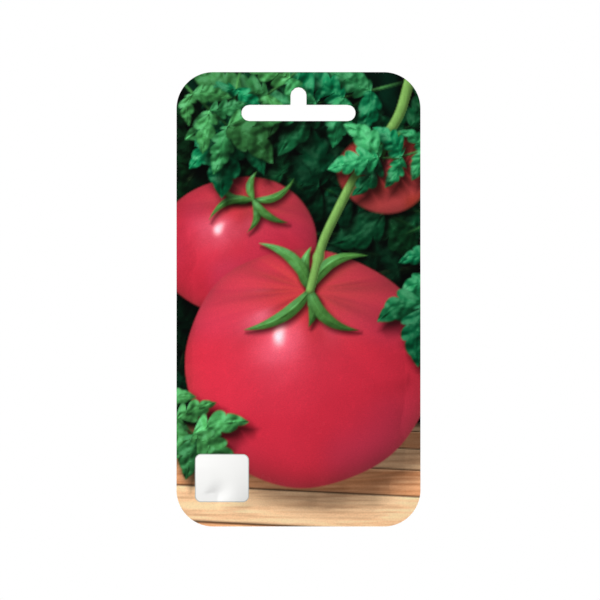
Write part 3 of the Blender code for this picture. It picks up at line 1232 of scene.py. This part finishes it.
class Field:
    """A number that varies over a surface: the output of a node, with arithmetic that adds Math nodes."""

    def __init__(self, shader: "Shader", socket: bpy.types.NodeSocket) -> None:
        """Wraps a node's output."""
        self.shader = shader
        self.socket = socket

    def __add__(self, other: "Field | float") -> "Field":
        """The sum."""
        return self.shader.math("ADD", self, other)

    __radd__ = __add__

    def __sub__(self, other: "Field | float") -> "Field":
        """The difference."""
        return self.shader.math("SUBTRACT", self, other)

    def __rsub__(self, other: float) -> "Field":
        """A number less this."""
        return self.shader.math("SUBTRACT", other, self)

    def __mul__(self, other: "Field | float") -> "Field":
        """The product."""
        return self.shader.math("MULTIPLY", self, other)

    __rmul__ = __mul__

    def __truediv__(self, other: "Field | float") -> "Field":
        """The quotient."""
        return self.shader.math("DIVIDE", self, other)

    def __abs__(self) -> "Field":
        """The size without its sign."""
        return self.shader.math("ABSOLUTE", self)

    def least(self, other: "Field | float") -> "Field":
        """The smaller of two."""
        return self.shader.math("MINIMUM", self, other)

    def most(self, other: "Field | float") -> "Field":
        """The greater of two."""
        return self.shader.math("MAXIMUM", self, other)

    def hypot(self, other: "Field") -> "Field":
        """The length of the diagonal, sqrt(a^2 + b^2)."""
        return self.shader.math("SQRT", self * self + other * other)

    def within(self, pitch: float) -> "Field":
        """The distance from the middle of the cell that this lies in, with cells a pitch apart."""
        return self.shader.math("FLOORED_MODULO", self, pitch) - pitch / 2

    def below(self, limit: float, soft: float) -> "Field":
        """1 below the limit and 0 above it, with an S curve soft wide between them."""
        return self.shader.ramp(self, limit + soft / 2, limit - soft / 2)


class Shader:
    """A material's nodes, with short calls for those that this scene uses.

    Args:
        name: The material's name.
    """

    def __init__(self, name: str) -> None:
        """Starts with the surface shader and Object coordinates in millimetres."""
        self.material = bpy.data.materials.new(name)
        self.material.use_nodes = True
        self.tree = self.material.node_tree
        self.surface = self.tree.nodes["Principled BSDF"]
        self.surface.inputs["Metallic"].default_value = 0.0
        coordinates = self.tree.nodes.new("ShaderNodeTexCoord")
        self.place = coordinates.outputs["Object"]

    def node(self, kind: str, **settings: object) -> bpy.types.Node:
        """A new node with some of its settings."""
        made = self.tree.nodes.new(kind)
        for key, value in settings.items():
            setattr(made, key, value)
        return made

    def feed(self, entry: bpy.types.NodeSocket, value: object) -> None:
        """Links a field or an output to an input, or sets the input to a plain value."""
        if isinstance(value, Field):
            self.tree.links.new(value.socket, entry)
        elif isinstance(value, bpy.types.NodeSocket):
            self.tree.links.new(value, entry)
        else:
            entry.default_value = value

    def math(self, operation: str, *values: object) -> Field:
        """One Math node."""
        made = self.node("ShaderNodeMath", operation=operation)
        for entry, value in zip(made.inputs, values):
            self.feed(entry, value)
        return Field(self, made.outputs[0])

    def ramp(self, value: Field, low: float, high: float, start: float = 0.0, end: float = 1.0) -> Field:
        """The S curve from start, where value is low, to end, where it is high."""
        made = self.node("ShaderNodeMapRange", interpolation_type="SMOOTHSTEP")
        for entry, number in zip(made.inputs, (value, low, high, start, end)):
            self.feed(entry, number)
        return Field(self, made.outputs[0])

    def axes(self) -> tuple[Field, Field, Field]:
        """Object coordinates, in millimetres."""
        scaled = self.node("ShaderNodeVectorMath", operation="SCALE")
        self.feed(scaled.inputs[0], self.place)
        scaled.inputs["Scale"].default_value = 1 / MM
        parts = self.node("ShaderNodeSeparateXYZ")
        self.feed(parts.inputs[0], scaled.outputs[0])
        return tuple(Field(self, output) for output in parts.outputs)

    def noise(self, size: float, detail: float = 3.0, stretch: tuple[float, float, float] = (1, 1, 1)) -> Field:
        """Noise from 0 to 1.

        Args:
            size: A blotch's size in metres.
            detail: How many finer layers it has.
            stretch: How much finer it is along each axis.

        Returns:
            The noise.
        """
        mapped = self.node("ShaderNodeMapping")
        self.feed(mapped.inputs["Vector"], self.place)
        mapped.inputs["Scale"].default_value = stretch
        made = self.node("ShaderNodeTexNoise")
        self.feed(made.inputs["Vector"], mapped.outputs[0])
        made.inputs["Scale"].default_value = 1 / size
        made.inputs["Detail"].default_value = detail
        return Field(self, made.outputs[0])

    def attribute(self, name: str) -> bpy.types.Node:
        """The node that reads one of the mesh's own attributes."""
        return self.node("ShaderNodeAttribute", attribute_name=name)

    def mix(self, share: object, under: object, over: object, blend: str = "MIX") -> bpy.types.NodeSocket:
        """One colour laid over another.

        Args:
            share: How much of the upper colour shows.
            under: The lower colour.
            over: The upper colour.
            blend: Blender's name for how they combine.

        Returns:
            The mixed colour's output.
        """
        made = self.node("ShaderNodeMix", data_type="RGBA", blend_type=blend)
        self.feed(made.inputs[0], share)
        for entry, value in ((made.inputs[6], under), (made.inputs[7], over)):
            self.feed(entry, (*value, 1.0) if isinstance(value, np.ndarray) else value)
        return made.outputs[2]

    def bump(self, height: Field, strength: float, distance: float) -> None:
        """Raises the surface by a field: strength from 0 to 1, distance in metres."""
        made = self.node("ShaderNodeBump")
        made.inputs["Strength"].default_value = strength
        made.inputs["Distance"].default_value = distance
        self.feed(made.inputs["Height"], height)
        self.feed(self.surface.inputs["Normal"], made.outputs[0])

    def finish(self, colour: object, roughness: object, specular: float) -> bpy.types.Material:
        """Sets the surface.

        Args:
            colour: The base colour.
            roughness: A number or a field.
            specular: The specular level, one number for the whole surface.

        Returns:
            The material.
        """
        self.feed(self.surface.inputs["Base Color"], (*colour, 1.0) if isinstance(colour, np.ndarray) else colour)
        self.feed(self.surface.inputs["Roughness"], roughness)
        self.surface.inputs["Specular IOR Level"].default_value = specular
        return self.material


@dataclass(frozen=True)
class PrintedPaper:
    """Gloss-varnished paper under a full-bleed picture, with a plain white tile low on its left.

    Args:
        name: The material's name.
        foot: The Z of the print's foot, in mm.
        tile_middle: The tile's middle in the print.
        tile_half: Half the tile's width and height.
        tile_corner: The tile's corner radius.
    """

    name: str
    foot: float
    tile_middle: Place = (-25.1, 15.9)
    tile_half: Place = (8.85, 7.9)
    tile_corner: float = 2.0

    WHITE = (245, 245, 243)
    KEYLINE = (196, 200, 196)
    EDGE_SOFT = 0.14

    def build(self) -> bpy.types.Material:
        """The picture from the mesh's attribute, with the press's fine grain, the tile, and worn cut edges."""
        shader = Shader(self.name)
        x, _, z = shader.axes()
        z = z - self.foot
        picture = shader.attribute(PICTURE_ATTRIBUTE).outputs["Color"]
        grain = shader.ramp(shader.noise(0.35 * MM, 2.0), 0.25, 0.75, 0.93, 1.07)
        colour = shader.mix(1.0, picture, self.grey(shader, grain), "MULTIPLY")
        across = abs(x - self.tile_middle[0]) - (self.tile_half[0] - self.tile_corner)
        up = abs(z - self.tile_middle[1]) - (self.tile_half[1] - self.tile_corner)
        beyond = across.most(0.0).hypot(up.most(0.0)) + across.most(up).least(0.0)
        colour = shader.mix(beyond.below(self.tile_corner, self.EDGE_SOFT), colour, ink(*self.KEYLINE))
        colour = shader.mix(beyond.below(self.tile_corner - 0.3, self.EDGE_SOFT), colour, ink(*self.WHITE))
        from_cut = Field(shader, shader.attribute(CUT_ATTRIBUTE).outputs["Fac"])
        scuff = shader.ramp(shader.noise(1.6 * MM, 4.0), 0.6, 0.8)
        worn = (from_cut - scuff * 0.12).below(0.02, 0.06)
        colour = shader.mix(worn * 0.4, colour, ink(*self.WHITE))
        smudge = shader.ramp(shader.noise(16 * MM, 4.0), 0.35, 0.7, 0.22, 0.28)
        shader.bump(shader.noise(0.5 * MM, 3.0, (1, 1, 0.5)), 0.25, 0.02 * MM)
        return shader.finish(colour, smudge, 0.16)

    @staticmethod
    def grey(shader: Shader, value: Field) -> bpy.types.NodeSocket:
        """A grey as bright as a field."""
        made = shader.node("ShaderNodeCombineColor")
        for entry in made.inputs:
            shader.feed(entry, value)
        return made.outputs[0]


@dataclass(frozen=True)
class BarePaperEdgeShade:
    """Unprinted paper, at the cut edges and inside the pocket.

    Args:
        name: The material's name.
        tone: The paper's colour: partly the cut's own ink layers and fibres, partly painted shade in the thin cut
            edge.
    """

    name: str
    tone: Array

    def build(self) -> bpy.types.Material:
        """Paper in its tone, which holds painted shade for the cut edge, with faint fibres and clouds."""
        shader = Shader(self.name)
        fibre = shader.noise(0.25 * MM, 5.0, (1, 1, 0.3))
        colour = shader.mix(shader.ramp(fibre, 0.3, 0.7), self.tone * 0.93, self.tone)
        shader.bump(fibre, 0.3, 0.02 * MM)
        return shader.finish(colour, shader.ramp(fibre, 0.2, 0.8, 0.62, 0.74), 0.3)


@dataclass(frozen=True)
class BackPrint:
    """Satin paper with a pale, wordless print: a green head, ruled lines, a year of boxes and four round signs.

    Args:
        name: The material's name.
        foot: The Z of the print's foot, in mm.
    """

    name: str
    foot: float

    CREAM = (232, 227, 211)
    GREEN = (38, 104, 66)
    PALE_GREEN = (206, 222, 196)
    RED = (190, 44, 56)
    AMBER = (226, 160, 58)
    SOFT = 0.16

    def build(self) -> bpy.types.Material:
        """Lays each part of the print over the cream ground, from the head down."""
        shader = Shader(self.name)
        x, _, z = shader.axes()
        z = z - self.foot
        colour = self.head(shader, ink(*self.CREAM), z)
        colour = self.lines(shader, colour, x, z)
        colour = self.year(shader, colour, x, z)
        colour = self.signs(shader, colour, x, z)
        fibre = shader.noise(0.4 * MM, 4.0, (1, 1, 0.4))
        shade = PrintedPaper.grey(shader, shader.ramp(fibre, 0.25, 0.75, 0.965, 1.0))
        colour = shader.mix(1.0, colour, shade, "MULTIPLY")
        shader.bump(fibre, 0.25, 0.02 * MM)
        return shader.finish(colour, shader.ramp(shader.noise(12 * MM), 0.3, 0.7, 0.46, 0.54), 0.3)

    def slab(self, x: Field, z: Field, half: Place, corner: float) -> Field:
        """1 inside a rectangle round the origin with round corners, and 0 outside."""
        across = abs(x) - (half[0] - corner)
        up = abs(z) - (half[1] - corner)
        beyond = across.most(0.0).hypot(up.most(0.0)) + across.most(up).least(0.0)
        return beyond.below(corner, self.SOFT)

    def head(self, shader: Shader, under: object, z: Field) -> bpy.types.NodeSocket:
        """A green band down from the top edge, with a red line under it."""
        colour = shader.mix((120.0 - z).below(0.0, self.SOFT), under, ink(*self.GREEN))
        return shader.mix(abs(z - 118.2).below(0.55, self.SOFT), colour, ink(*self.RED))

    def lines(self, shader: Shader, under: object, x: Field, z: Field) -> bpy.types.NodeSocket:
        """A pale panel with six ruled lines."""
        colour = shader.mix(self.slab(x, z - 89.0, (33.0, 23.5), 3.0), under, ink(*self.PALE_GREEN))
        ruled_here = abs((z - 89.0).within(6.0)).below(0.16, self.SOFT)
        panel = self.slab(x, z - 89.0, (29.0, 19.0), 0.5)
        return shader.mix(ruled_here * panel, colour, ink(*self.GREEN))

    def year(self, shader: Shader, under: object, x: Field, z: Field) -> bpy.types.NodeSocket:
        """Twelve boxes in a row, a few filled green, amber and red for sowing, planting and picking."""
        row = z - 50.0
        pitch = 5.6
        box = self.slab((x + 6 * pitch).within(pitch), row, (2.4, 4.0), 0.6) * abs(x).below(6 * pitch, 0.05)
        hollow = self.slab((x + 6 * pitch).within(pitch), row, (2.05, 3.65), 0.4)
        colour = shader.mix(box, under, ink(*self.GREEN))
        colour = shader.mix(box * hollow, colour, ink(*self.CREAM))
        for middle, half, tone in ((-3.0, 1.0, self.GREEN), (-1.5, 0.5, self.AMBER), (1.5, 1.5, self.RED)):
            filled = abs(x + middle * pitch).below(half * pitch, 0.05)
            colour = shader.mix(box * hollow * filled, colour, ink(*tone))
        return colour

    def signs(self, shader: Shader, under: object, x: Field, z: Field) -> bpy.types.NodeSocket:
        """Four round signs: a sun, a drop, a seed in soil, and a sprout."""
        row = z - 24.0
        colour = under
        for middle, tone in ((27.0, self.AMBER), (9.0, self.GREEN), (-9.0, self.GREEN), (-27.0, self.RED)):
            ring = (x - middle).hypot(row)
            colour = shader.mix(ring.below(7.6, self.SOFT), colour, ink(*tone))
            colour = shader.mix(ring.below(7.0, self.SOFT), colour, ink(*self.CREAM))
        sun = (x - 27.0).hypot(row)
        spoke = shader.math("ARCTAN2", row, x - 27.0) * 8.0
        rays = shader.math("COSINE", spoke).most(0.0) * sun.below(5.6, self.SOFT) * (5.9 - sun).below(2.2, self.SOFT)
        colour = shader.mix(shader.ramp(rays, 0.35, 0.6), colour, ink(*self.AMBER))
        colour = shader.mix(sun.below(2.9, self.SOFT), colour, ink(*self.AMBER))
        drop = self.drop(x - 9.0, row)
        colour = shader.mix(drop, colour, ink(70, 140, 190))
        seed = (x + 9.0).hypot((row + 2.6) * 1.5)
        soil = row.below(0.6, self.SOFT) * (x + 9.0).hypot(row).below(6.4, self.SOFT)
        colour = shader.mix(soil, colour, ink(140, 104, 70))
        colour = shader.mix(seed.below(1.9, self.SOFT), colour, ink(*self.CREAM))
        colour = shader.mix(self.sprout(x + 27.0, row), colour, ink(*self.GREEN))
        return colour

    def drop(self, x: Field, z: Field) -> Field:
        """A round drop with a pointed top: its half width narrows evenly above its middle."""
        bulb = x.hypot(z + 1.2).below(2.9, self.SOFT)
        point = (abs(x) - (4.4 - z) * 0.52).below(0.0, self.SOFT) * (-0.1 - z).below(0.0, self.SOFT)
        return bulb.most(point)

    def sprout(self, x: Field, z: Field) -> Field:
        """A short stem with two round leaves."""
        stem = abs(x).below(0.4, self.SOFT) * abs(z + 2.0).below(3.2, self.SOFT)
        leaf = (abs(x) - 2.2).hypot((z - 1.6 - abs(x) * 0.35) * 1.9).below(2.1, self.SOFT)
        return stem.most(leaf)


@dataclass(frozen=True)
class SeedCoat:
    """A dry tomato seed's skin, felted with short hairs.

    Args:
        name: The material's name.
    """

    name: str

    def build(self) -> bpy.types.Material:
        """Tan, with paler hairs as fine drawn-out noise."""
        shader = Shader(self.name)
        hairs = shader.noise(0.12 * MM, 6.0, (1.0, 1.0, 0.35))
        patch = shader.noise(0.9 * MM, 3.0)
        colour = shader.mix(shader.ramp(patch, 0.3, 0.7), ink(194, 162, 112), ink(214, 186, 138))
        colour = shader.mix(shader.ramp(hairs, 0.55, 0.75, 0.0, 0.7), colour, ink(232, 214, 176))
        shader.bump(hairs, 0.6, 0.08 * MM)
        return shader.finish(colour, shader.ramp(hairs, 0.3, 0.7, 0.92, 0.78), 0.25)


@dataclass(frozen=True)
class StudioGrey:
    """The floor's plain pale finish.

    Args:
        name: The material's name.
        tone: Its colour.
    """

    name: str
    tone: Array

    def build(self) -> bpy.types.Material:
        """Matt, with the faintest clouding."""
        shader = Shader(self.name)
        patch = shader.ramp(shader.noise(0.4, 2.0), 0.3, 0.7)
        colour = shader.mix(patch, self.tone * 0.985, self.tone)
        return shader.finish(colour, 0.9, 0.1)


# Pieces


@dataclass
class Packet:
    """The two paper sheets.

    Args:
        shape: The packet's shape.
        relief: How the paper departs from its plain bulge.
    """

    shape: PacketShape
    relief: PaperRelief = field(default_factory=PaperRelief)

    FRONT_SPACING = 0.366 * MM
    BACK_SPACING = 0.75 * MM

    def build(self) -> list[bpy.types.Object]:
        """Makes, dresses and places both sheets.

        Returns:
            The front sheet and the back sheet.
        """
        # The bare paper's grey-tan is partly the cut's ink layers and fibres, partly painted shade in the thin cut
        # edge.
        bare_and_edge_shade = BarePaperEdgeShade("bare_paper_edge_shade", ink(136, 131, 120)).build()
        foot = self.shape.foot / MM
        front = Sheet("printed_front", "front_sheet", Facing.FRONT, self.shape, self.relief, self.FRONT_SPACING)
        back = Sheet("plain_back", "back_sheet", Facing.BACK, self.shape, self.relief, self.BACK_SPACING)
        made = []
        for sheet, finish, slot in (
            (front, PrintedPaper("printed_paper", foot), "front_print"),
            (back, BackPrint("back_print", foot), "back_print"),
        ):
            obj = sheet.build()
            obj.data.materials.append(finish.build())
            obj.data.materials.append(bare_and_edge_shade)
            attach(obj, BODY)
            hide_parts(sheet.node)
            made.append(obj)
        self.print_picture(made[0])
        return made

    def print_picture(self, obj: bpy.types.Object) -> None:
        """Paints the picture onto the front sheet's vertices, and notes each one's distance from a cut, in mm."""
        mesh = obj.data
        points = np.empty(len(mesh.vertices) * 3, np.float32)
        mesh.vertices.foreach_get("co", points)
        points = points.reshape(-1, 3).astype(float)
        width = (self.shape.right - self.shape.left) / MM
        height = (self.shape.top - self.shape.foot) / MM
        canvas = Canvas(points[:, 0] / MM, (points[:, 2] - self.shape.foot) / MM)
        colour = Picture(width, height).paint(canvas)
        shown = np.concatenate([colour, np.ones((len(colour), 1))], axis=1).astype(np.float32)
        layer = mesh.color_attributes.new(name=PICTURE_ATTRIBUTE, type="FLOAT_COLOR", domain="POINT")
        layer.data.foreach_set("color", shown.ravel())
        distance = self.shape.from_cut(points[:, 0], points[:, 2]) / MM
        layer = mesh.attributes.new(name=CUT_ATTRIBUTE, type="FLOAT", domain="POINT")
        layer.data.foreach_set("value", np.clip(distance, 0, None).astype(np.float32))


@dataclass(frozen=True)
class Seed:
    """One tomato seed: a flat oval, blunt at one end, narrower at the other, with a felted rim.

    Args:
        node: The CAD node that it stands for.
        number: Which seed, so that no two are alike.
    """

    node: str
    number: int

    AROUND = 36
    ALONG = 20
    RIM = 0.07
    TAPER = 0.42
    FELT = 0.025 * MM

    def axes(self) -> tuple[Array, Array, Array]:
        """The CAD seed's middle, its three directions by length, and its half sizes along them."""
        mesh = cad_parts[self.node].data
        points = np.empty(len(mesh.vertices) * 3, np.float32)
        mesh.vertices.foreach_get("co", points)
        points = points.reshape(-1, 3).astype(float)
        middle = (points.min(axis=0) + points.max(axis=0)) / 2
        _, _, ways = np.linalg.svd(points - points.mean(axis=0), full_matrices=False)
        if np.linalg.det(ways) < 0:
            ways[2] = -ways[2]
        spans = (points - middle) @ ways.T
        middle = middle + (spans.min(axis=0) + spans.max(axis=0)) / 2 @ ways
        return middle, ways, np.ptp(spans, axis=0) / 2

    def build(self) -> bpy.types.Object:
        """Makes the seed.

        Rings run from the blunt end to the tip. A ring's half width is sin(t)^0.8 of the
        widest and narrows towards the tip, and its half thickness is sin(t), so that the
        seed is a lens with a rounder outline. Noise raises the felt.

        Returns:
            The seed's object.
        """
        middle, ways, half = self.axes()
        t = np.linspace(0, math.pi, self.ALONG + 1)[1:-1]
        turn = np.linspace(0, 2 * math.pi, self.AROUND, endpoint=False)
        t, turn = np.meshgrid(t, turn, indexing="ij")
        taper = 1 - self.TAPER * ((1 - np.cos(t)) / 2) ** 1.5
        along = -np.cos(t)
        wide = np.sin(t) ** 0.8 * taper * np.cos(turn)
        thick = np.sin(t) * np.sin(turn) * (1 - self.RIM * np.cos(2 * turn))
        local = np.stack([along, wide, thick], axis=-1).reshape(-1, 3)
        ends = np.array([[-1.0, 0.0, 0.0], [1.0, 0.0, 0.0]])
        local = np.concatenate([local, ends]) * 0.97
        felt = cloud(local[:, 0] * 7 + self.number, (local[:, 1] + local[:, 2]) * 9 + 20, self.number, 3) - 0.5
        points = middle + (local * half) @ ways
        outward = (local / half) @ ways
        points += outward / np.linalg.norm(outward, axis=1, keepdims=True) * (self.FELT * felt)[:, None]
        obj = mesh_object(f"tomato_{self.node}", points, self.faces())
        obj.data.shade_smooth()
        return obj

    def faces(self) -> list[Array]:
        """Quads between the rings, and a fan of triangles at each end."""
        rings = self.ALONG - 1
        number = np.arange(rings * self.AROUND).reshape(rings, self.AROUND)
        right = np.roll(number, -1, axis=1)
        quads = np.stack([number[:-1], number[1:], right[1:], right[:-1]], axis=-1).reshape(-1, 4)
        first = np.full(self.AROUND, rings * self.AROUND)
        start = np.stack([first, number[0], right[0]], axis=1)
        end = np.stack([first + 1, right[-1], number[-1]], axis=1)
        return [quads[:, ::-1], np.concatenate([start, end])[:, ::-1]]


@dataclass
class Seeds:
    """The seeds loose in the pocket."""

    def build(self) -> list[bpy.types.Object]:
        """Makes a finer seed in the place of each CAD seed.

        Returns:
            The seeds.
        """
        coat = SeedCoat("seed_coat").build()
        made = []
        for number, node in enumerate(sorted(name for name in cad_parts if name.startswith("seed_"))):
            obj = Seed(node, number).build()
            obj.data.materials.append(coat)
            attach(obj, BODY)
            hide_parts(node)
            made.append(obj)
        return made


@dataclass(frozen=True)
class Studio:
    """A plain pale floor, soft light and the photograph's view.

    Args:
        shape: The packet's shape.
    """

    shape: PacketShape

    LENS_MM = 200.0
    SENSOR_MM = 36.0
    FRAME_PX = 600
    PACKET_PX = 243.95
    MIDDLE_PX = (298.5, 299.3)
    FLOOR_DROP = 0.27
    FLOOR_RADIUS = 2.6
    FLOOR_SIDES = 96
    SIDE_GLOW = 0.18
    SKY_GLOW = 4.0

    def build(self) -> None:
        """Adds the floor, the lights, the world and the camera."""
        self.floor()
        self.world()
        for name, off, size, power, mirrored in (
            ("key_softbox", (-1.25, -0.42, 0.45), (0.6, 0.6), 32.0, False),
            ("fill_softbox", (0.70, -0.85, 0.75), (0.8, 0.8), 2.9, True),
            ("low_strip", (-0.62, -0.46, -0.15), (0.22, 0.36), 1.1, True),
        ):
            self.lamp(name, off, size, power, mirrored)
            self.lamp(f"back_{name}", (-off[0], -off[1], off[2]), size, power, mirrored)
        self.camera()
        bpy.context.scene.view_settings.view_transform = "Standard"

    def middle(self) -> Vector:
        """The packet's middle."""
        return Vector((0.0, 0.0, (self.shape.top + self.shape.foot) / 2))

    def floor(self) -> None:
        """A round floor some way under the hanging packet."""
        turn = np.linspace(0, 2 * math.pi, self.FLOOR_SIDES, endpoint=False)
        height = np.full_like(turn, self.shape.foot - self.FLOOR_DROP)
        points = np.stack([self.FLOOR_RADIUS * np.cos(turn), self.FLOOR_RADIUS * np.sin(turn), height], axis=1)
        floor = mesh_object("studio_floor", points, [np.arange(self.FLOOR_SIDES)[None, :]])
        floor.data.materials.append(StudioGrey("studio_floor", ink(250, 250, 249)).build())
        floor.visible_glossy = False
        floor.visible_diffuse = False

    def world(self) -> None:
        """A white surround, whose light comes mostly from overhead, so that the lamps model the packet's sides."""
        world = bpy.data.worlds.new("studio")
        world.use_nodes = True
        tree = world.node_tree
        glow = tree.nodes["Background"]
        way = tree.nodes.new("ShaderNodeTexCoord")
        parts = tree.nodes.new("ShaderNodeSeparateXYZ")
        climb = tree.nodes.new("ShaderNodeMapRange")
        climb.interpolation_type = "SMOOTHSTEP"
        for entry, number in zip(climb.inputs[1:5], (0.80, 0.95, self.SIDE_GLOW, self.SKY_GLOW)):
            entry.default_value = number
        surround = tree.nodes.new("ShaderNodeBackground")
        seen = tree.nodes.new("ShaderNodeLightPath")
        choice = tree.nodes.new("ShaderNodeMixShader")
        for start, end in (
            (way.outputs["Generated"], parts.inputs[0]),
            (parts.outputs["Z"], climb.inputs[0]),
            (climb.outputs[0], glow.inputs["Strength"]),
            (seen.outputs["Is Camera Ray"], choice.inputs[0]),
            (glow.outputs[0], choice.inputs[1]),
            (surround.outputs[0], choice.inputs[2]),
            (choice.outputs[0], tree.nodes["World Output"].inputs["Surface"]),
        ):
            tree.links.new(start, end)
        glow.inputs["Color"].default_value = (1.0, 1.0, 1.0, 1.0)
        surround.inputs["Color"].default_value = (1.0, 1.0, 1.0, 1.0)
        bpy.context.scene.world = world

    def lamp(
        self, name: str, off: tuple[float, float, float], size: Place, power: float, mirrored: bool
    ) -> None:
        """A rectangular soft lamp that looks at the packet.

        Args:
            name: The lamp's name.
            off: Where it stands, from the packet's middle.
            size: Its width and height in metres.
            power: Its power in watts.
            mirrored: Whether the varnish mirrors it, which a raking lamp's glare would hide the print by.
        """
        data = bpy.data.lights.new(name, "AREA")
        data.shape = "RECTANGLE"
        data.size, data.size_y = size
        data.energy = power
        lamp = bpy.data.objects.new(name, data)
        lamp.visible_glossy = mirrored
        lamp.location = self.middle() + Vector(off)
        lamp.rotation_euler = (-Vector(off)).to_track_quat("-Z", "Y").to_euler()
        bpy.context.collection.objects.link(lamp)

    def camera(self) -> None:
        """A long lens square to the front, as far off as gives the packet its width in the photograph."""
        per_pixel = (self.shape.right - self.shape.left) / self.PACKET_PX
        frame_width = per_pixel * self.FRAME_PX
        data = bpy.data.cameras.new("photo_view")
        data.lens = self.LENS_MM
        data.sensor_width = self.SENSOR_MM
        data.clip_start = 0.05
        data.clip_end = 20.0
        camera = bpy.data.objects.new("photo_view", data)
        right = (self.FRAME_PX / 2 - self.MIDDLE_PX[0]) * per_pixel
        down = (self.FRAME_PX / 2 - self.MIDDLE_PX[1]) * per_pixel
        distance = frame_width * self.LENS_MM / self.SENSOR_MM
        camera.location = self.middle() + Vector((right, -distance, -down))
        camera.rotation_euler = (math.pi / 2, 0.0, 0.0)
        bpy.context.collection.objects.link(camera)
        bpy.context.scene.camera = camera


def main() -> None:
    """Builds the sheets, the seeds and the studio, and reports each piece."""
    logging.basicConfig(level=logging.INFO, format="%(name)s: %(message)s")
    low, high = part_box("front_sheet")
    shape = PacketShape(left=low[0], right=high[0], foot=low[2], top=high[2])
    for obj in [*Packet(shape).build(), *Seeds().build()]:
        log.info("%s: %d faces", obj.name, len(obj.data.polygons))
    Studio(shape).build()


if __name__ == "__main__":
    main()
